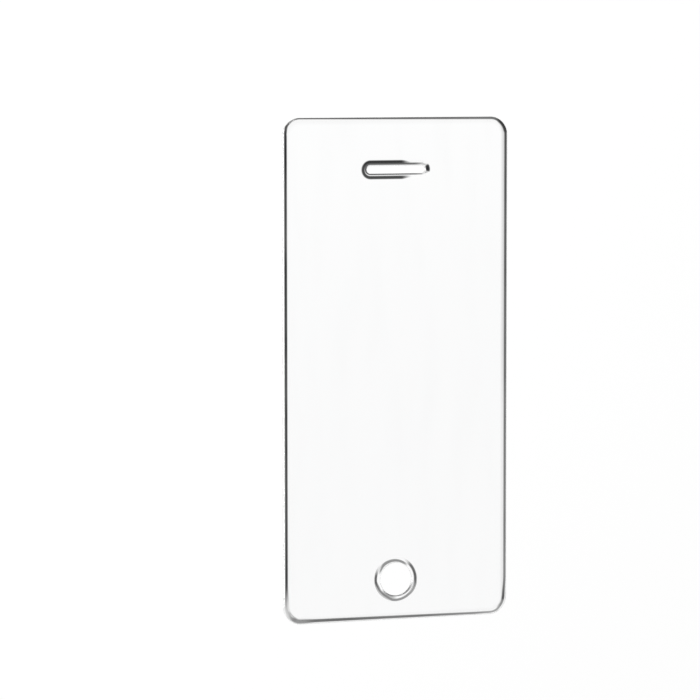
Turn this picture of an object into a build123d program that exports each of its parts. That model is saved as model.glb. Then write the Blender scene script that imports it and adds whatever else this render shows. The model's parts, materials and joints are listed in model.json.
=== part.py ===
from build123d import *
import os

# Phone screen protector: one clear sheet of tempered glass that lies on its rear face.
# The origin is the middle of the rear face, +Z points out of the front face and +Y to the earpiece end.

# Sheet, in millimetres
sheet_width = 63.0
sheet_length = 134.0
sheet_thickness = 0.5
corner_radius = 4.8

# Earpiece slot, measured where it passes right through the glass
slot_length = 16.4
slot_width = 2.1
slot_from_top = 13.8

# Home button hole, measured in the same way
hole_diameter = 8.9
hole_from_bottom = 10.8

# Ground edge, the same round the outline, the slot and the hole: the front face rolls off
# over edge_run down to a straight wall, and the rear corner of that wall is broken by a small arris
edge_run = 1.45
edge_wall = 0.14
rear_arris = 0.05

# Overhang of the roll-off cutter past the glass, above it and out from its rim
cutter_overhang = 0.3

# Worked out from the sizes above
slot_y = sheet_length / 2 - slot_from_top
hole_y = hole_from_bottom - sheet_length / 2
edge_drop = sheet_thickness - edge_wall - rear_arris
edge_radius = (edge_run**2 + edge_drop**2) / (2 * edge_drop)


with BuildPart() as glass_sheet:
    # The blank, with its slot and hole cut straight through
    with BuildSketch() as blank:
        RectangleRounded(sheet_width, sheet_length, corner_radius)
        with Locations((0, slot_y)):
            SlotOverall(slot_length, slot_width, mode=Mode.SUBTRACT)
        with Locations((0, hole_y)):
            Circle(hole_diameter / 2, mode=Mode.SUBTRACT)
    extrude(amount=sheet_thickness)

    # Rear arris round all three rims
    rear_face = glass_sheet.faces().sort_by(Axis.Z)[0]
    chamfer(rear_face.edges(), rear_arris)

    # Rolled front edge: its waste section is drawn square to each rim and swept once round it.
    # Each rim of the front face runs with the glass on its left, which is the section's +X.
    front_face = glass_sheet.faces().sort_by(Axis.Z)[-1]
    for rim in front_face.wires():
        into_glass = Axis.Z.direction.cross(rim % 0)
        with BuildSketch(Plane(rim @ 0, x_dir=into_glass, z_dir=rim % 0)):
            with BuildLine():
                roll = RadiusArc((edge_run, 0), (0, -edge_drop), -edge_radius)
                Polyline(
                    roll @ 1,
                    (-cutter_overhang, -edge_drop),
                    (-cutter_overhang, cutter_overhang),
                    (edge_run, cutter_overhang),
                    roll @ 0,
                )
            make_face()
        sweep(path=rim, mode=Mode.SUBTRACT)

glass_sheet.part.label = "glass_sheet"

os.makedirs("parts", exist_ok=True)
export_step(glass_sheet.part, "parts/glass_sheet.step")
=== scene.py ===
import json
import math

import bpy
from bpy.props import FloatProperty, FloatVectorProperty, IntProperty, PointerProperty
from mathutils import Matrix, Vector


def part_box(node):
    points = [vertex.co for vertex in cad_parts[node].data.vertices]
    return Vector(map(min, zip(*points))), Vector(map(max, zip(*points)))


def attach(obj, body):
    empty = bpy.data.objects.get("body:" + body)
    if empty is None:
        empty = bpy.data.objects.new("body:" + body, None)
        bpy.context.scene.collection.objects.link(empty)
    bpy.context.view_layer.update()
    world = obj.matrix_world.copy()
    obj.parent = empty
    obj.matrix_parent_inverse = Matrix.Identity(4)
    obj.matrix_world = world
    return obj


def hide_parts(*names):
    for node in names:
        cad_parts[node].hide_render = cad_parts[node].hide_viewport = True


bl_info = {
    "name": "Phone Screen Protector",
    "version": (1, 0, 0),
    "blender": (4, 5, 0),
    "location": "3D View > Sidebar > Protector",
    "description": "A clear glass screen protector with a ground edge, lying on a white table",
    "category": "Add Mesh",
}

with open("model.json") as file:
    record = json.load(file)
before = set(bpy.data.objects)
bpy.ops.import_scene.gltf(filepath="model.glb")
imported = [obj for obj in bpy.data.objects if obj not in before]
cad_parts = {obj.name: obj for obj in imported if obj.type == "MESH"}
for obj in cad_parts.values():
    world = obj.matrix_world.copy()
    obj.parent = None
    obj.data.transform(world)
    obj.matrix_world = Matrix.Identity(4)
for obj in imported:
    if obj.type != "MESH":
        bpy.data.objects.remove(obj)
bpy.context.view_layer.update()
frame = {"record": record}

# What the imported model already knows: the sheet's box and its home button hole
MM = 0.001
SHEET_NODE = "glass_sheet"
SHEET_LOW, SHEET_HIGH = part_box(SHEET_NODE)
SHEET_SIZE = SHEET_HIGH - SHEET_LOW
HOME_HOLE = next(m for m in frame["record"]["mounts"] if m["name"] == "home_hole")

# Names of the attributes that the sheet's mesh carries for its material
REACH, RIM_OUT, RIM_KIND = "reach", "rim_out", "rim_kind"
MAP_PLACE, BAKE_MAP = "map_place", "OFBake"

QUARTER_TURN = math.pi / 2

# Keeps a comparison of whole numbers clear of rounding
HALF_STEP = 0.5


# Sizes, finish and stage, as a user would change them

class GlassSheetSizes(bpy.types.PropertyGroup):
    """Sizes of the glass sheet, in the model's metres."""

    width: FloatProperty(
        name="Width", description="Across the sheet", default=SHEET_SIZE.x, unit="LENGTH")
    length: FloatProperty(
        name="Length", description="Along the sheet", default=SHEET_SIZE.y, unit="LENGTH")
    thickness: FloatProperty(
        name="Thickness", description="Front face to rear face", default=SHEET_SIZE.z, unit="LENGTH")
    corner_radius: FloatProperty(
        name="Corner Radius", description="Radius of the outline's corners",
        default=4.8 * MM, unit="LENGTH")
    slot_length: FloatProperty(
        name="Slot Length", description="Earpiece slot, end to end", default=16.4 * MM, unit="LENGTH")
    slot_width: FloatProperty(
        name="Slot Width", description="Earpiece slot, side to side", default=2.1 * MM, unit="LENGTH")
    slot_from_top: FloatProperty(
        name="Slot From Top", description="Upper edge to the slot's middle",
        default=13.8 * MM, unit="LENGTH")
    hole_radius: FloatProperty(
        name="Hole Radius", description="Home button hole",
        default=HOME_HOLE["dims"]["r_mm"] * MM, unit="LENGTH")
    hole_place: FloatProperty(
        name="Hole Place", description="The hole's middle along the sheet",
        default=HOME_HOLE["pos_m"][1], unit="LENGTH")
    edge_run: FloatProperty(
        name="Edge Run", description="How far in the front face rolls off",
        default=1.45 * MM, unit="LENGTH")
    edge_wall: FloatProperty(
        name="Edge Wall", description="Straight wall under the rolled edge",
        default=0.14 * MM, unit="LENGTH")
    rear_arris: FloatProperty(
        name="Rear Arris", description="Broken rear corner of the wall",
        default=0.05 * MM, unit="LENGTH")
    lip: FloatProperty(
        name="Flat Lip", description="Band of flat face kept square beside the rolled edge",
        default=1.5 * MM, unit="LENGTH")
    roll_steps: IntProperty(
        name="Roll Steps", description="Facets across the rolled edge", default=18, min=2)
    corner_steps: IntProperty(
        name="Corner Steps", description="Facets round each quarter turn", default=28, min=2)
    side_steps: IntProperty(
        name="Side Steps", description="Facets along each straight side", default=8, min=1)


class GlassFinish(bpy.types.PropertyGroup):
    """Colours and values of the clear glass."""

    body_colour: FloatVectorProperty(
        name="Body Colour", description="What the clear faces let through", subtype="COLOR", size=4,
        min=0, max=1, default=(0.993, 0.995, 0.996, 1))
    # The dark lines on the ground edge are painted shade: its colour at the darkest, and how strongly it
    # shows
    painted_shade_colour: FloatVectorProperty(
        name="Painted Shade Colour", description="What the ground edge lets through at its darkest",
        subtype="COLOR", size=4, min=0, max=1, default=(0.002, 0.0023, 0.0026, 1))
    painted_shade_strength: FloatProperty(
        name="Painted Shade Strength", description="How strongly the tones of the ground edge show",
        default=1.33, min=0)
    ior: FloatProperty(name="IOR", description="Refraction of the glass", default=1.5, min=1)
    face_roughness: FloatProperty(
        name="Face Roughness", description="Polish of the two faces", default=0.012, min=0, max=1)
    film_roughness: FloatProperty(
        name="Film Roughness", description="Added where a wiped film lies", default=0.03, min=0, max=1)
    film_tint: FloatProperty(
        name="Film Tint", description="Share of light that the film takes", default=0.012, min=0, max=1)
    edge_roughness: FloatProperty(
        name="Edge Roughness", description="Polish of the ground edge", default=0.09, min=0, max=1)
    mark_depth: FloatProperty(
        name="Mark Depth", description="Depth of the polishing marks along the edge",
        default=0.0012 * MM, unit="LENGTH")
    wave_depth: FloatProperty(
        name="Wave Depth", description="Height of the slow wave in the faces",
        default=0.003 * MM, unit="LENGTH")


class StageSettings(bpy.types.PropertyGroup):
    """Table, light and camera."""

    floor_colour: FloatVectorProperty(
        name="Floor Colour", description="The table top", subtype="COLOR", size=4, min=0, max=1,
        default=(1.0, 1.0, 1.0, 1))
    floor_glow: FloatProperty(
        name="Floor Glow", description="Share of the table's white that shadows leave",
        default=0.75, min=0, max=1)
    key_power: FloatProperty(
        name="Key Power", description="Large soft light beside the camera", default=39.5, unit="POWER")
    key_place: FloatVectorProperty(
        name="Key Place", description="Where the key light hangs", subtype="TRANSLATION",
        unit="LENGTH", default=(-1.35, 0.1, 1.75))
    back_power: FloatProperty(
        name="Back Power", description="Soft light past the upper edge", default=27.5, unit="POWER")
    back_place: FloatVectorProperty(
        name="Back Place", description="Where the back light hangs", subtype="TRANSLATION",
        unit="LENGTH", default=(-0.3, 1.5, 1.5))
    light_size: FloatProperty(
        name="Light Size", description="Side of both soft lights", default=1.2, unit="LENGTH")
    room_fill: FloatProperty(
        name="Room Fill", description="What the room adds to the lamps", default=0.05, min=0)
    ceiling: FloatProperty(
        name="Ceiling", description="Level of the room that the glass reflects from above",
        default=0.9, min=0)
    horizon: FloatProperty(
        name="Horizon", description="Level of the room that the glass reflects from the side",
        default=0.35, min=0)
    dim_card: FloatProperty(
        name="Dim Card", description="Level of the two grey cards that the glass reflects",
        default=0.05, min=0)
    low_card_direction: FloatVectorProperty(
        name="Low Card Direction", description="Where the card hangs that the lower end reflects",
        subtype="DIRECTION", default=(0.36, -0.20, 0.911))
    high_card_direction: FloatVectorProperty(
        name="High Card Direction", description="Where the card hangs that left-facing rolls reflect",
        subtype="DIRECTION", default=(-0.05, -0.085, 0.995))
    camera_place: FloatVectorProperty(
        name="Camera Place", description="Where the camera stands", subtype="TRANSLATION",
        unit="LENGTH", default=(-0.31075, 0.08516, 0.88802))
    camera_aim: FloatVectorProperty(
        name="Camera Aim", description="Point of the table at the picture's middle",
        subtype="TRANSLATION", unit="LENGTH", default=(-0.01280, 0.00558, 0.0))
    camera_up: FloatVectorProperty(
        name="Camera Up", description="Direction that is upright in the picture", subtype="DIRECTION",
        default=(0.0279, 0.9964, -0.0799))
    camera_lens: FloatProperty(
        name="Lens", description="Focal length in millimetres", default=182.54, min=1)


# Node building

class Graph:
    """Adds nodes to a tree and links them, so that a formula reads as a row of calls."""

    PER_ROW, SPACING = 12, (190, -230)

    def __init__(self, tree):
        self.tree = tree
        self.given = None

    def add(self, kind, inputs=None, **settings):
        count = len(self.tree.nodes)
        node = self.tree.nodes.new(kind)
        row, column = divmod(count, self.PER_ROW)
        node.location = (column * self.SPACING[0], row * self.SPACING[1])
        for name, value in settings.items():
            setattr(node, name, value)
        for name, value in (inputs or {}).items():
            self.feed(node.inputs[name], value)
        return node

    def feed(self, socket, value):
        if isinstance(value, bpy.types.NodeSocket):
            self.tree.links.new(value, socket)
        else:
            socket.default_value = value

    def input(self, name):
        if self.given is None:
            self.given = self.add("NodeGroupInput")
        return self.given.outputs[name]

    def output(self, **values):
        node = self.add("NodeGroupOutput")
        for name, value in values.items():
            self.feed(node.inputs[name], value)

    def calculate(self, kind, operation, values):
        node = self.add(kind, operation=operation)
        for socket, value in zip(node.inputs, values):
            self.feed(socket, value)
        return node

    def math(self, operation, *values):
        return self.calculate("ShaderNodeMath", operation, values).outputs[0]

    def vector(self, operation, *values):
        return self.calculate("ShaderNodeVectorMath", operation, values).outputs[0]

    def scale(self, vector, factor):
        node = self.add("ShaderNodeVectorMath", {"Vector": vector, "Scale": factor}, operation="SCALE")
        return node.outputs[0]

    def dot(self, first, second):
        node = self.add("ShaderNodeVectorMath", {0: first, 1: second}, operation="DOT_PRODUCT")
        return node.outputs["Value"]

    def combine(self, x=0.0, y=0.0, z=0.0):
        return self.add("ShaderNodeCombineXYZ", {"X": x, "Y": y, "Z": z}).outputs[0]

    def separate(self, vector):
        return self.add("ShaderNodeSeparateXYZ", {"Vector": vector}).outputs

    def noise(self, vector, scale, detail):
        node = self.add("ShaderNodeTexNoise", {"Vector": vector, "Scale": scale, "Detail": detail})
        return node.outputs["Fac"]

    def mix(self, share, first, second):
        """A number that goes from first to second as share goes from 0 to 1."""
        return self.add("ShaderNodeMix", {0: share, 2: first, 3: second}, data_type="FLOAT").outputs[0]

    def mix_colours(self, share, first, second):
        return self.add("ShaderNodeMix", {0: share, 6: first, 7: second}, data_type="RGBA").outputs[2]

    def mix_shaders(self, share, first, second):
        return self.add("ShaderNodeMixShader", {0: share, 1: first, 2: second}).outputs[0]

    def remap(self, value, low, high, to_low=0.0, to_high=1.0):
        """Eases value from to_low at low to to_high at high, and holds it outside them."""
        node = self.add(
            "ShaderNodeMapRange",
            {"Value": value, "From Min": low, "From Max": high, "To Min": to_low, "To Max": to_high},
            interpolation_type="SMOOTHSTEP")
        return node.outputs[0]

    def near(self, direction, way, full, none):
        """1 where a direction lies within full degrees of a way, easing to 0 at none degrees from it."""
        likeness = self.dot(direction, way)
        return self.remap(likeness, math.cos(math.radians(none)), math.cos(math.radians(full)))


def new_tree(name, kind, inputs, outputs):
    """An empty node tree with named sockets."""
    tree = bpy.data.node_groups.new(name, kind)
    for way, sockets in (("INPUT", inputs), ("OUTPUT", outputs)):
        for label, socket in sockets:
            tree.interface.new_socket(name=label, in_out=way, socket_type="NodeSocket" + socket)
    return tree


# Shape of the sheet

RIM_SIZES = (
    ("Width", "Float"), ("Length", "Float"), ("Corner Radius", "Float"), ("Place", "Float"),
    ("Side", "Float"), ("Corner Steps", "Int"), ("Side Steps", "Int"))
EDGE_SIZES = (
    ("Thickness", "Float"), ("Edge Run", "Float"), ("Edge Wall", "Float"), ("Rear Arris", "Float"),
    ("Lip", "Float"), ("Roll Steps", "Int"))


def rim_path_group():
    """Fields for a rounded rectangle: its point at a step, drawn in by a reach, and the way out there.

    Side is 1 where the glass lies inside the rim and -1 where it lies round it.
    """
    tree = new_tree(
        "Rim Path", "GeometryNodeTree",
        (("Step", "Float"), ("Reach", "Float")) + RIM_SIZES, (("Point", "Vector"), ("Out", "Vector")))
    g = Graph(tree)
    corner_steps = g.input("Corner Steps")
    side_steps = g.input("Side Steps")
    per_quarter = g.math("ADD", corner_steps, side_steps)
    quarter = g.math("FLOOR", g.math("DIVIDE", g.input("Step"), per_quarter))
    along = g.math("SUBTRACT", g.input("Step"), g.math("MULTIPLY", quarter, per_quarter))
    turned = g.math("MINIMUM", g.math("DIVIDE", along, corner_steps), 1.0)
    past_corner = g.math("MAXIMUM", g.math("SUBTRACT", along, corner_steps), 0.0)
    slid = g.math("DIVIDE", past_corner, side_steps)
    angle = g.math("MULTIPLY", g.math("ADD", quarter, turned), QUARTER_TURN)
    out = g.combine(g.math("COSINE", angle), g.math("SINE", angle))

    half_x = g.math("SUBTRACT", g.math("MULTIPLY", g.input("Width"), 0.5), g.input("Corner Radius"))
    half_y = g.math("SUBTRACT", g.math("MULTIPLY", g.input("Length"), 0.5), g.input("Corner Radius"))

    def corner_centre(ahead):
        diagonal = g.math("MULTIPLY", g.math("ADD", quarter, 0.5 + ahead), QUARTER_TURN)
        return g.combine(
            g.math("MULTIPLY", g.math("SIGN", g.math("COSINE", diagonal)), half_x),
            g.math("MULTIPLY", g.math("SIGN", g.math("SINE", diagonal)), half_y))

    here = corner_centre(0)
    step_on = g.scale(g.vector("SUBTRACT", corner_centre(1), here), slid)
    centre = g.vector("ADD", g.vector("ADD", here, step_on), g.combine(y=g.input("Place")))
    radius = g.math(
        "SUBTRACT", g.input("Corner Radius"), g.math("MULTIPLY", g.input("Side"), g.input("Reach")))
    g.output(Point=g.vector("ADD", centre, g.scale(out, radius)), Out=out)
    return tree


def ground_rim_group(rim_path):
    """The ground edge along one rim: a strip from the rear over arris, wall and roll to the front."""
    tree = new_tree(
        "Ground Rim", "GeometryNodeTree",
        RIM_SIZES + EDGE_SIZES + (("Kind", "Vector"),), (("Mesh", "Geometry"),))
    g = Graph(tree)
    run, wall, arris = g.input("Edge Run"), g.input("Edge Wall"), g.input("Rear Arris")
    lip, roll_steps, thickness = g.input("Lip"), g.input("Roll Steps"), g.input("Thickness")

    # Radius and sweep of the roll, from how far it runs in and how far it drops
    drop = g.math("SUBTRACT", g.math("SUBTRACT", thickness, wall), arris)
    squares = g.math("ADD", g.math("MULTIPLY", run, run), g.math("MULTIPLY", drop, drop))
    roll_radius = g.math("DIVIDE", g.math("MULTIPLY", squares, 0.5), drop)
    sweep = g.math("ARCSINE", g.math("DIVIDE", run, roll_radius))

    # Each column of the grid is one section of the edge: rear face, arris, wall, roll, front face
    arris_row, wall_row, roll_row, rows_besides_roll = 1, 2, 3, 5
    quarters = 4.0
    per_quarter = g.math("ADD", g.input("Corner Steps"), g.input("Side Steps"))
    columns = g.math("ADD", g.math("MULTIPLY", per_quarter, quarters), 1.0)
    rows = g.math("ADD", roll_steps, float(rows_besides_roll))
    grid = g.add("GeometryNodeMeshGrid", {"Vertices X": columns, "Vertices Y": rows})
    index = g.add("GeometryNodeInputIndex").outputs[0]
    step = g.math("FLOOR", g.math("DIVIDE", g.math("ADD", index, HALF_STEP), rows))
    row = g.math("SUBTRACT", index, g.math("MULTIPLY", step, rows))

    def below(limit):
        return g.math("LESS_THAN", row, limit + HALF_STEP)

    on_front = g.math("GREATER_THAN", row, g.math("ADD", roll_steps, roll_row + HALF_STEP))
    rolled = g.math("DIVIDE", g.math("SUBTRACT", row, float(roll_row)), roll_steps)
    rolled = g.math("MINIMUM", g.math("MAXIMUM", rolled, 0.0), 1.0)
    slope = g.math("MULTIPLY", sweep, g.math("SUBTRACT", 1.0, rolled))
    in_arris = g.math("MULTIPLY", arris, below(arris_row))
    in_wall = g.math("MULTIPLY", wall, below(wall_row))
    in_front = g.math("MULTIPLY", lip, on_front)
    rear_face = g.math("SUBTRACT", g.math("ADD", run, lip), arris)
    in_rear = g.math("MULTIPLY", rear_face, below(0))

    roll_reach = g.math("SUBTRACT", run, g.math("MULTIPLY", roll_radius, g.math("SINE", slope)))
    reach = g.math("ADD", g.math("ADD", roll_reach, in_front), g.math("ADD", in_arris, in_rear))
    sunk = g.math("MULTIPLY", roll_radius, g.math("SUBTRACT", 1.0, g.math("COSINE", slope)))
    height = g.math("SUBTRACT", g.math("SUBTRACT", thickness, sunk), g.math("ADD", in_wall, in_arris))

    # The same section rolled out flat, for the bake map
    flat_roll = g.math("SUBTRACT", run, g.math("MULTIPLY", roll_radius, slope))
    flat_wall = g.math("ADD", in_wall, g.math("MULTIPLY", in_arris, math.sqrt(2)))
    flat_reach = g.math("SUBTRACT", g.math("ADD", flat_roll, in_front), flat_wall)

    def path(at_reach):
        node = g.add("GeometryNodeGroup", node_tree=rim_path)
        g.feed(node.inputs["Step"], step)
        g.feed(node.inputs["Reach"], at_reach)
        for name, _ in RIM_SIZES:
            g.feed(node.inputs[name], g.input(name))
        return node.outputs

    section = path(reach)
    point = g.vector("ADD", section["Point"], g.combine(z=height))
    placed = g.add("GeometryNodeSetPosition", {"Geometry": grid.outputs["Mesh"], "Position": point})
    mesh = store(g, placed.outputs[0], REACH, "FLOAT", reach)
    mesh = store(g, mesh, RIM_OUT, "FLOAT_VECTOR", section["Out"])
    mesh = store(g, mesh, RIM_KIND, "FLOAT_VECTOR", g.input("Kind"))
    mesh = store(g, mesh, MAP_PLACE, "FLOAT_VECTOR", path(flat_reach)["Point"])
    turned = g.add(
        "GeometryNodeFlipFaces", {"Mesh": mesh, "Selection": g.math("LESS_THAN", g.input("Side"), 0.0)})
    g.output(Mesh=turned.outputs[0])
    return tree


def store(g, geometry, name, data_type, value, domain="POINT"):
    """Keeps a field on the geometry under a name."""
    node = g.add(
        "GeometryNodeStoreNamedAttribute", {"Geometry": geometry, "Name": name},
        data_type=data_type, domain=domain)
    g.feed(node.inputs["Value"], value)
    return node.outputs[0]


def glass_sheet_tree():
    """The whole sheet: three ground rims, closed by a flat front face and a flat rear face."""
    sheet_inputs = (
        ("Width", "Float"), ("Length", "Float"), ("Corner Radius", "Float"), ("Slot Length", "Float"),
        ("Slot Width", "Float"), ("Slot Place", "Float"), ("Hole Radius", "Float"),
        ("Hole Place", "Float"), ("Corner Steps", "Int"), ("Side Steps", "Int"))
    sheet_inputs += EDGE_SIZES + (("Material", "Material"),)
    tree = new_tree("Glass Sheet", "GeometryNodeTree", sheet_inputs, (("Geometry", "Geometry"),))
    g = Graph(tree)
    weld = 1e-3 * MM
    ground_rim = ground_rim_group(rim_path_group())
    hole_size = g.math("MULTIPLY", g.input("Hole Radius"), 2.0)
    slot_end = g.math("MULTIPLY", g.input("Slot Width"), 0.5)

    def rim(width, length, radius, place, side, kind):
        node = g.add("GeometryNodeGroup", node_tree=ground_rim)
        values = {"Width": width, "Length": length, "Corner Radius": radius, "Place": place,
                  "Side": side, "Kind": kind}
        for name, value in values.items():
            g.feed(node.inputs[name], value)
        for name in ("Corner Steps", "Side Steps") + tuple(label for label, _ in EDGE_SIZES):
            g.feed(node.inputs[name], g.input(name))
        return node.outputs[0]

    def joined(parts):
        node = g.add("GeometryNodeJoinGeometry")
        for part in parts:
            g.feed(node.inputs[0], part)
        welded = g.add("GeometryNodeMergeByDistance", {"Geometry": node.outputs[0], "Distance": weld})
        return welded.outputs[0]

    # The glass lies inside the outline, and round the slot and the hole
    inside, around = 1.0, -1.0
    outline = rim(g.input("Width"), g.input("Length"), g.input("Corner Radius"), 0.0, inside, (1, 0, 0))
    slot = rim(
        g.input("Slot Length"), g.input("Slot Width"), slot_end, g.input("Slot Place"), around, (0, 1, 0))
    hole = rim(hole_size, hole_size, g.input("Hole Radius"), g.input("Hole Place"), around, (0, 0, 1))
    rims = joined((outline, slot, hole))

    # The open ends of the rims on the rear face bound both flat faces
    place = g.add("GeometryNodeInputPosition").outputs[0]
    faces_beside = g.add("GeometryNodeInputMeshEdgeNeighbors").outputs[0]
    open_edge = g.math("LESS_THAN", faces_beside, 1 + HALF_STEP)
    at_rear = g.math("LESS_THAN", g.separate(place)["Z"], weld)
    bounds = g.add(
        "GeometryNodeMeshToCurve", {"Mesh": rims, "Selection": g.math("MULTIPLY", open_edge, at_rear)})
    flat = g.add("GeometryNodeFillCurve", {"Curve": bounds.outputs[0]}, mode="TRIANGLES").outputs[0]
    flat = store(g, flat, REACH, "FLOAT", g.math("ADD", g.input("Edge Run"), g.input("Lip")))
    flat = store(g, flat, MAP_PLACE, "FLOAT_VECTOR", place)
    front = g.add(
        "GeometryNodeTransform", {"Geometry": flat, "Translation": g.combine(z=g.input("Thickness"))})
    rear = g.add("GeometryNodeFlipFaces", {"Mesh": flat})
    sheet = joined((rims, front.outputs[0], rear.outputs[0]))

    # Bake map: the front with its edges on the left, the rear face mirrored beside it
    margin, straight_down = 0.8 * MM, -0.99
    span = g.math("ADD", g.input("Length"), 2 * margin)
    island = g.math("ADD", g.input("Width"), 2 * margin)
    spot = g.add("GeometryNodeInputNamedAttribute", {"Name": MAP_PLACE}, data_type="FLOAT_VECTOR")
    spot_x, spot_y, _ = g.separate(spot.outputs[0])
    rear_x, rear_y, _ = g.separate(place)
    normal = g.add("GeometryNodeInputNormal").outputs[0]
    faces_down = g.math("LESS_THAN", g.separate(normal)["Z"], straight_down)
    middle = g.math("MULTIPLY", island, 0.5)
    front_u = g.math("ADD", spot_x, middle)
    rear_u = g.math("SUBTRACT", g.math("ADD", island, middle), rear_x)

    def either(front_value, rear_value):
        return g.math("DIVIDE", g.mix(faces_down, front_value, rear_value), span)

    half_span = g.math("MULTIPLY", span, 0.5)
    on_face = g.add("GeometryNodeFieldOnDomain", data_type="FLOAT_VECTOR", domain="CORNER")
    u = either(front_u, rear_u)
    v = either(g.math("ADD", spot_y, half_span), g.math("ADD", rear_y, half_span))
    g.feed(on_face.inputs[0], g.combine(u, v))
    sheet = store(g, sheet, BAKE_MAP, "FLOAT2", on_face.outputs[0], "CORNER")
    sheet = g.add("GeometryNodeRemoveAttribute", {"Geometry": sheet, "Name": MAP_PLACE}).outputs[0]

    # Smooth all over, apart from the corners of the wall
    sharp_angle = math.radians(20)
    smooth = g.add("GeometryNodeSetShadeSmooth", {"Geometry": sheet}, domain="FACE").outputs[0]
    angle = g.add("GeometryNodeInputMeshEdgeAngle").outputs[0]
    sharp = g.math("GREATER_THAN", angle, sharp_angle)
    creased = g.add(
        "GeometryNodeSetShadeSmooth",
        {"Geometry": smooth, "Selection": sharp, "Shade Smooth": False}, domain="EDGE")
    real = g.add("GeometryNodeRealizeInstances", {"Geometry": creased.outputs[0]}).outputs[0]
    glazed = g.add("GeometryNodeSetMaterial", {"Geometry": real, "Material": g.input("Material")})
    g.output(Geometry=glazed.outputs[0])
    return tree


def mesh_from_tree(name, tree, values):
    """An object whose plain mesh is what the tree makes from these values."""
    piece = bpy.data.objects.new(name, bpy.data.meshes.new(name))
    bpy.context.scene.collection.objects.link(piece)
    modifier = piece.modifiers.new(tree.name, "NODES")
    modifier.node_group = tree
    for item in tree.interface.items_tree:
        if item.in_out == "INPUT":
            modifier[item.identifier] = values[item.name]
    depsgraph = bpy.context.evaluated_depsgraph_get()
    mesh = bpy.data.meshes.new_from_object(
        piece.evaluated_get(depsgraph), preserve_all_data_layers=True, depsgraph=depsgraph)
    mesh.name = name
    for index in reversed(range(len(mesh.materials))):
        if mesh.materials[index] is None:
            mesh.materials.pop(index=index)
    piece.modifiers.clear()
    piece.data = mesh
    return piece


# Finish of the glass, with painted shade along its ground edges

class PaintedRimShade(Graph):
    """A group that paints shade along one rim: soft dark lines of painted shade that run along it, each
    some way in from the rim.

    Reach and Place are in millimetres, and Out is the way out of the rim.
    """

    INPUTS = (("Reach", "Float"), ("Out", "Vector"), ("Place", "Vector"))

    def __init__(self, name, painted_line):
        super().__init__(new_tree(name, "ShaderNodeTree", self.INPUTS, (("Passed", "Float"),)))
        self.painted_line = painted_line
        self.passed = 1.0

    def toward(self, bearing, full, none):
        """1 where the rim faces within full degrees of a bearing, easing to 0 at none degrees from it."""
        angle = math.radians(bearing)
        return self.near(self.input("Out"), (math.cos(angle), math.sin(angle), 0.0), full, none)

    def times(self, first, second):
        return self.math("MULTIPLY", first, second)

    def total(self, start, *shares):
        """start plus each value times its weight."""
        for value, weight in shares:
            start = self.math("MULTIPLY_ADD", value, weight, start)
        return start

    def line(self, centre, half_width, depth):
        """Draws one line of painted shade, by how far in its middle lies, half its width and the light it
        takes.
        """
        drawn = self.add(
            "ShaderNodeGroup",
            {"Reach": self.input("Reach"), "Centre": centre, "Half Width": half_width, "Depth": depth},
            node_tree=self.painted_line)
        self.passed = self.times(self.passed, drawn.outputs[0])

    def finished(self):
        self.output(Passed=self.passed)
        return self.tree


# Share of a painted shade line's half width over which it has its full depth
CORE_SHARE = 0.4


def painted_shade_line_group():
    """A soft line of painted shade along an edge, as the share of light that it lets through."""
    tree = new_tree(
        "Painted Shade Line", "ShaderNodeTree",
        (("Reach", "Float"), ("Centre", "Float"), ("Half Width", "Float"), ("Depth", "Float")),
        (("Passed", "Float"),))
    g = Graph(tree)
    off_centre = g.math("ABSOLUTE", g.math("SUBTRACT", g.input("Reach"), g.input("Centre")))
    core = g.math("MULTIPLY", g.input("Half Width"), CORE_SHARE)
    line = g.remap(off_centre, g.input("Half Width"), core)
    g.output(Passed=g.math("SUBTRACT", 1.0, g.math("MULTIPLY", line, g.input("Depth"))))
    return tree


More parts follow.
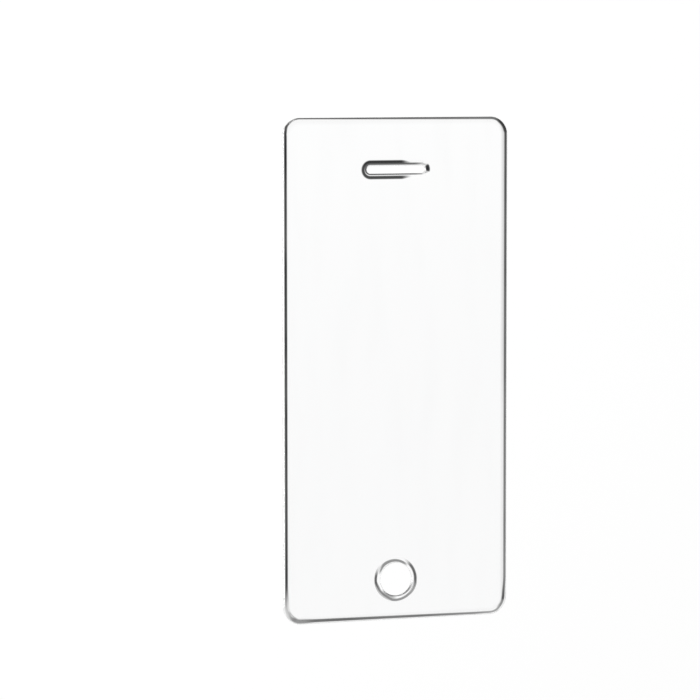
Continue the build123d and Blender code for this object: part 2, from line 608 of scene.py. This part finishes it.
def outline_painted_shade_group(painted_line, sizes):
    """The outline's painted shade: a dark line, further in at the left and the foot, and a soft painted
    shade at the right.
    """
    g = PaintedRimShade("Outline Painted Shade", painted_line)
    out_x, out_y, _ = g.separate(g.input("Out"))
    x, y, _ = g.separate(g.input("Place"))
    half_width, half_length = sizes.width / MM / 2, sizes.length / MM / 2

    # Stretches of the rim where the painted shade line changes
    top, left, right = g.toward(90, 10, 40), g.toward(180, 10, 40), g.toward(0, 10, 50)
    top_right = g.times(top, g.remap(x, 0.3 * half_width, 0.8 * half_width))
    upper_right = g.toward(36, 16, 32)
    lower_half = g.remap(y, 0.15 * half_length, -0.3 * half_length)
    along_foot = g.times(x, g.toward(270, 10, 40))
    low = g.remap(y, -0.84 * half_length, -0.94 * half_length)
    right_foot = g.times(low, g.toward(-3, 5, 18))
    turning_right = g.times(low, g.toward(-22, 18, 42))
    turning_left = g.times(low, g.toward(196, 26, 44))
    lower_left = g.times(g.remap(x, -0.7 * half_width, -0.85 * half_width), g.toward(258, 22, 42))
    lower_right = g.times(g.remap(x, 0.7 * half_width, 0.85 * half_width), g.toward(-72, 12, 34))
    fading = g.math("MAXIMUM", 0.0, g.total(0.0, (x, 0.5 / half_width), (y, -0.5 / half_length)))
    drift_scale = 0.06
    drift = g.noise(g.input("Place"), drift_scale, 1.0)

    # The painted shade line: millimetres in from the rim, half its width in millimetres, share of light
    # it takes
    centre = g.total(
        0.525, (out_x, -0.045), (out_y, -0.235), (g.times(out_y, out_y), -0.15),
        (g.times(x, out_y), 0.006), (left, 0.275), (upper_right, -0.14), (turning_right, 0.45),
        (turning_left, 0.03), (lower_right, 0.1))
    line_width = g.total(
        0.5, (upper_right, 0.5), (along_foot, -0.0045), (turning_right, 0.1),
        (lower_left, 0.25), (turning_left, 0.4), (left, -0.06))
    depth = g.total(
        0.775, (drift, 0.23), (fading, -0.24), (top, -0.06), (top_right, -0.1), (left, 0.08),
        (upper_right, 0.08), (right_foot, 0.3), (lower_right, -0.14), (lower_left, -0.25),
        (turning_left, -0.65))
    g.line(centre, line_width, depth)

    # A broad soft painted shade, strongest at the right, and a short inner line of painted shade across
    # the lower left corner
    g.line(0.3, 1.9, g.total(0.04, (right, 0.24), (g.times(right, lower_half), -0.14)))
    g.line(1.3, 0.42, g.times(g.toward(226, 14, 30), 0.42))
    return g.finished()


def slot_painted_shade_group(painted_line, sizes):
    """The earpiece slot's painted shade: a dark line round its left part, a grey line at its wall, a dark
    right tip.
    """
    g = PaintedRimShade("Slot Painted Shade", painted_line)
    out_y = g.separate(g.input("Out"))["Y"]
    x = g.separate(g.input("Place"))["X"]
    half_length = sizes.slot_length / MM / 2
    left_part = g.remap(x, 0.58 * half_length, 0.16 * half_length)
    short_of_tip = g.remap(x, half_length, 0.6 * half_length)
    tip, near_tip = g.toward(11, 16, 34), g.toward(6, 10, 60)
    g.line(g.total(0.75, (left_part, 0.27)), g.total(0.3, (left_part, 0.3)), g.times(left_part, 0.97))
    wall = g.total(0.28, (out_y, 0.22), (near_tip, 0.5))
    g.line(wall, 0.4, g.total(0.38, (short_of_tip, 0.47), (out_y, -0.05)))

    # Drawn twice, the painted shade spot at the tip gets a broad black middle
    for depth in (0.998, 0.95):
        g.line(0.78, 0.68, g.times(tip, depth))
    return g.finished()


def hole_painted_shade_group(painted_line):
    """The home button hole's painted shade: a dark line where its roll starts, open at the top, and grey
    arcs in it.
    """
    g = PaintedRimShade("Hole Painted Shade", painted_line)
    out_x = g.separate(g.input("Out"))["X"]
    top, foot = g.toward(105, 43, 62), g.toward(285, 30, 74)
    below_top = g.math("SUBTRACT", 1.0, g.toward(105, 48, 66))
    lower_half, lower_left = g.toward(278, 54, 82), g.toward(222, 14, 40)
    lower_right, upper_right = g.toward(332, 8, 26), g.toward(38, 10, 34)
    left_end = g.toward(165, 8, 36)
    crease = g.total(
        1.18, (out_x, -0.15), (lower_left, -0.38), (lower_right, 0.2), (upper_right, -0.09))
    crease_width = g.total(0.5, (lower_half, -0.06))
    g.line(crease, crease_width, g.times(below_top, g.total(0.86, (lower_half, -0.18))))
    arc = g.total(0.58, (out_x, -0.38), (left_end, -0.4))
    g.line(arc, g.total(0.5, (out_x, -0.2), (left_end, -0.3)), g.times(top, 0.66))
    g.line(g.total(0.0, (out_x, 0.26)), 0.36, g.times(foot, 0.68))
    g.line(0.4, 0.8, g.times(g.toward(243, 12, 32), 0.62))
    return g.finished()


def wiped_film_group():
    """A faint film in strokes along the sheet, as wiping leaves it: 0 where it is clean, up to 1."""
    tree = new_tree("Wiped Film", "ShaderNodeTree", (("Place", "Vector"),), (("Film", "Float"),))
    g = Graph(tree)
    across, along = 0.16, 0.025
    clean_to, full_from = 0.42, 0.75
    strokes = g.vector("MULTIPLY", g.input("Place"), (across, along, 0.0))
    g.output(Film=g.remap(g.noise(strokes, 1.0, 3.0), clean_to, full_from))
    return tree


def polish_group():
    """What polishing leaves, each from 0 to 1: fine marks along the edge and a slow wave all over."""
    tree = new_tree(
        "Polish", "ShaderNodeTree", (("Reach", "Float"), ("Place", "Vector")),
        (("Marks", "Float"), ("Wave", "Float")))
    g = Graph(tree)
    along, across, wave_scale = 0.35, 10.0, 0.05
    inwards = g.combine(z=g.math("MULTIPLY", g.input("Reach"), across))
    strands = g.vector("MULTIPLY_ADD", g.input("Place"), (along, along, across), inwards)
    g.output(Marks=g.noise(strands, 1.0, 3.0), Wave=g.noise(g.input("Place"), wave_scale, 1.0))
    return tree


def clear_glass_material(finish, sizes):
    """Polished clear glass, with soft grey lines of painted shade along its ground edges."""
    material = bpy.data.materials.new("polished_glass")
    material.use_nodes = True
    tree = material.node_tree
    tree.nodes.clear()
    g = Graph(tree)

    def attribute(name, output):
        return g.add("ShaderNodeAttribute", attribute_name=name).outputs[output]

    place = g.scale(g.add("ShaderNodeTexCoord").outputs["Object"], 1 / MM)
    reach = g.math("DIVIDE", attribute(REACH, "Fac"), MM)
    out = attribute(RIM_OUT, "Vector")
    film = g.add("ShaderNodeGroup", {"Place": place}, node_tree=wiped_film_group()).outputs["Film"]
    polish = g.add("ShaderNodeGroup", {"Reach": reach, "Place": place}, node_tree=polish_group())
    marks, wave = polish.outputs["Marks"], polish.outputs["Wave"]

    # Each rim's painted shade holds only on the band of glass that belongs to it
    painted_line = painted_shade_line_group()
    painted_shades = (
        outline_painted_shade_group(painted_line, sizes), slot_painted_shade_group(painted_line, sizes),
        hole_painted_shade_group(painted_line))
    passed = 1.0
    for painted_shade, kind in zip(painted_shades, g.separate(attribute(RIM_KIND, "Vector"))):
        rim = g.add("ShaderNodeGroup", {"Reach": reach, "Out": out, "Place": place}, node_tree=painted_shade)
        passed = g.math("MULTIPLY", passed, g.mix(kind, 1.0, rim.outputs["Passed"]))
    # The painted edge shade, raised to its strength, and the wiped film pull the body colour toward the
    # painted shade colour
    filmed = g.math("MULTIPLY_ADD", film, -finish.film_tint, 1.0)
    passed = g.math("MULTIPLY", g.math("POWER", passed, finish.painted_shade_strength), filmed)
    colour = g.mix_colours(passed, finish.painted_shade_colour, finish.body_colour)

    # The edge is less polished than the faces, which are duller where the film lies
    run = sizes.edge_run / MM
    on_edge = g.remap(reach, run, 0.5 * run)
    face_roughness = g.math("MULTIPLY_ADD", film, finish.film_roughness, finish.face_roughness)
    edge_roughness = g.math("MULTIPLY_ADD", marks, finish.edge_roughness, finish.edge_roughness / 2)
    roughness = g.mix(on_edge, face_roughness, edge_roughness)
    edge_height = g.math("MULTIPLY", g.math("MULTIPLY", marks, on_edge), finish.mark_depth)
    height = g.math("MULTIPLY_ADD", wave, finish.wave_depth, edge_height)
    relief = g.add("ShaderNodeBump", {"Height": height, "Strength": 1.0, "Distance": 1.0})

    glass = g.add(
        "ShaderNodeBsdfPrincipled",
        {"Base Color": colour, "Roughness": roughness, "IOR": finish.ior,
         "Transmission Weight": 1.0, "Normal": relief.outputs[0]})

    # Lamp light goes straight through to the table, and each of the two faces takes half the dimming, so
    # the painted edge shade also casts a painted shadow on the table under the edges
    half_dimmed = g.add("ShaderNodeGamma", {"Color": colour, "Gamma": 0.5}).outputs[0]
    see_through = g.add("ShaderNodeBsdfTransparent", {"Color": half_dimmed})
    lamp_ray = g.add("ShaderNodeLightPath").outputs["Is Shadow Ray"]
    surface = g.mix_shaders(lamp_ray, glass.outputs[0], see_through.outputs[0])
    g.add("ShaderNodeOutputMaterial", {"Surface": surface})
    return material


class PROTECTOR_OT_glass_sheet(bpy.types.Operator):
    """Make the clear glass sheet with its slot, its hole and its ground edge"""

    bl_idname = "protector.glass_sheet"
    bl_label = "Glass Sheet"

    def execute(self, context):
        sizes = context.scene.protector_sizes
        values = {
            "Width": sizes.width, "Length": sizes.length, "Thickness": sizes.thickness,
            "Corner Radius": sizes.corner_radius, "Slot Length": sizes.slot_length,
            "Slot Width": sizes.slot_width, "Slot Place": sizes.length / 2 - sizes.slot_from_top,
            "Hole Radius": sizes.hole_radius, "Hole Place": sizes.hole_place, "Edge Run": sizes.edge_run,
            "Edge Wall": sizes.edge_wall, "Rear Arris": sizes.rear_arris, "Lip": sizes.lip,
            "Roll Steps": sizes.roll_steps, "Corner Steps": sizes.corner_steps,
            "Side Steps": sizes.side_steps,
            "Material": clear_glass_material(context.scene.protector_finish, sizes),
        }
        sheet = mesh_from_tree("clear_glass_sheet", glass_sheet_tree(), values)
        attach(sheet, "root")
        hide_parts(SHEET_NODE)
        return {"FINISHED"}


# Stage: table, light and camera

# How far the table top lies under the sheet, and half its side
FLOOR_GAP = 0.05 * MM
FLOOR_HALF = 3.0

# Degrees from a grey card's middle to where it starts to fade, and to where it is gone
LOW_CARD_SPREAD = (3.5, 12)
HIGH_CARD_SPREAD = (9, 16)

# How steeply up a direction goes where the room is as bright as its ceiling
CEILING_FROM = 0.85


def white_table_material(stage):
    """White table top that keeps part of the shadow, and is plain white through the glass."""
    material = bpy.data.materials.new("white_table")
    material.use_nodes = True
    tree = material.node_tree
    tree.nodes.clear()
    g = Graph(tree)
    top = g.add("ShaderNodeBsdfDiffuse", {"Color": stage.floor_colour})
    glow = g.add("ShaderNodeEmission", {"Color": (1, 1, 1, 1), "Strength": 1.0})
    path = g.add("ShaderNodeLightPath").outputs
    seen = g.math("MAXIMUM", path["Is Camera Ray"], path["Is Glossy Ray"])
    share = g.math("MAXIMUM", g.math("MULTIPLY", seen, stage.floor_glow), path["Is Transmission Ray"])
    surface = g.mix_shaders(share, top.outputs[0], glow.outputs[0])
    g.add("ShaderNodeOutputMaterial", {"Surface": surface})
    return material


def studio_world(stage):
    """White where the eye looks past the table, and a soft room with two grey cards in reflections."""
    world = bpy.data.worlds.new("soft_studio")
    world.use_nodes = True
    tree = world.node_tree
    tree.nodes.clear()
    g = Graph(tree)
    direction = g.add("ShaderNodeTexCoord").outputs["Generated"]
    low_card = g.near(direction, Vector(stage.low_card_direction).normalized(), *LOW_CARD_SPREAD)
    high_card = g.near(direction, Vector(stage.high_card_direction).normalized(), *HIGH_CARD_SPREAD)
    on_card = g.math("MAXIMUM", low_card, high_card)
    walls = g.remap(g.separate(direction)["Z"], 0.0, CEILING_FROM, stage.horizon, stage.ceiling)
    reflected = g.mix(on_card, walls, stage.dim_card)

    path = g.add("ShaderNodeLightPath").outputs
    level = g.mix(path["Is Glossy Ray"], stage.room_fill, reflected)
    room = g.add("ShaderNodeBackground", {"Color": (1, 1, 1, 1), "Strength": level})
    white = g.add("ShaderNodeBackground", {"Color": (1, 1, 1, 1), "Strength": 1.0})
    seen = g.math("MINIMUM", g.math("ADD", path["Is Camera Ray"], path["Is Transmission Ray"]), 1.0)
    surface = g.mix_shaders(seen, room.outputs[0], white.outputs[0])
    g.add("ShaderNodeOutputWorld", {"Surface": surface})
    return world


def looking_at(place, aim, up):
    """Matrix of a camera or lamp at place that looks at aim, with up upright."""
    back = (place - aim).normalized()
    right = up.cross(back).normalized()
    turn = Matrix((right, back.cross(right), back)).transposed()
    return Matrix.Translation(place) @ turn.to_4x4()


def soft_light(name, power, size, place):
    """A large square lamp that faces the sheet."""
    lamp = bpy.data.lights.new(name, "AREA")
    lamp.energy = power
    lamp.size = size
    light = bpy.data.objects.new(name, lamp)
    bpy.context.scene.collection.objects.link(light)
    light.matrix_world = looking_at(Vector(place), Vector((0, 0, 0)), Vector((0, 1, 0)))


class PROTECTOR_OT_stage(bpy.types.Operator):
    """Make the white table, the soft studio light and the camera"""

    bl_idname = "protector.stage"
    bl_label = "Stage"

    def execute(self, context):
        scene = context.scene
        stage = scene.protector_stage
        ways = ((-1, -1), (1, -1), (1, 1), (-1, 1))
        corners = [(x * FLOOR_HALF, y * FLOOR_HALF, -FLOOR_GAP) for x, y in ways]
        mesh = bpy.data.meshes.new("table_top")
        mesh.from_pydata(corners, [], [(0, 1, 2, 3)])
        mesh.materials.append(white_table_material(stage))
        table = bpy.data.objects.new("table_top", mesh)
        scene.collection.objects.link(table)

        scene.world = studio_world(stage)
        soft_light("key_light", stage.key_power, stage.light_size, stage.key_place)
        soft_light("back_light", stage.back_power, stage.light_size, stage.back_place)

        lens = bpy.data.cameras.new("camera")
        lens.lens = stage.camera_lens
        camera = bpy.data.objects.new("camera", lens)
        scene.collection.objects.link(camera)
        camera.matrix_world = looking_at(
            Vector(stage.camera_place), Vector(stage.camera_aim), Vector(stage.camera_up))
        scene.camera = camera
        scene.view_settings.view_transform = "Standard"
        scene.cycles.caustics_refractive = False
        scene.cycles.caustics_reflective = False
        return {"FINISHED"}


class PROTECTOR_PT_sidebar(bpy.types.Panel):
    """Lists the pieces and their settings"""

    bl_idname = "PROTECTOR_PT_sidebar"
    bl_label = "Phone Screen Protector"
    bl_space_type = "VIEW_3D"
    bl_region_type = "UI"
    bl_category = "Protector"

    def draw(self, context):
        scene = context.scene
        listed = (
            (PROTECTOR_OT_glass_sheet, (scene.protector_sizes, scene.protector_finish)),
            (PROTECTOR_OT_stage, (scene.protector_stage,)))
        for operator, groups in listed:
            column = self.layout.column()
            column.operator(operator.bl_idname)
            for settings in groups:
                for key in settings.__annotations__:
                    column.prop(settings, key)


SETTINGS = {
    "protector_sizes": GlassSheetSizes,
    "protector_finish": GlassFinish,
    "protector_stage": StageSettings,
}
CLASSES = (*SETTINGS.values(), PROTECTOR_OT_glass_sheet, PROTECTOR_OT_stage, PROTECTOR_PT_sidebar)


def register():
    for made in CLASSES:
        bpy.utils.register_class(made)
    for name, group in SETTINGS.items():
        setattr(bpy.types.Scene, name, PointerProperty(type=group))


def unregister():
    for name in SETTINGS:
        delattr(bpy.types.Scene, name)
    for made in reversed(CLASSES):
        bpy.utils.unregister_class(made)


def main():
    register()
    bpy.ops.protector.glass_sheet()
    bpy.ops.protector.stage()


if __name__ == "__main__":
    main()
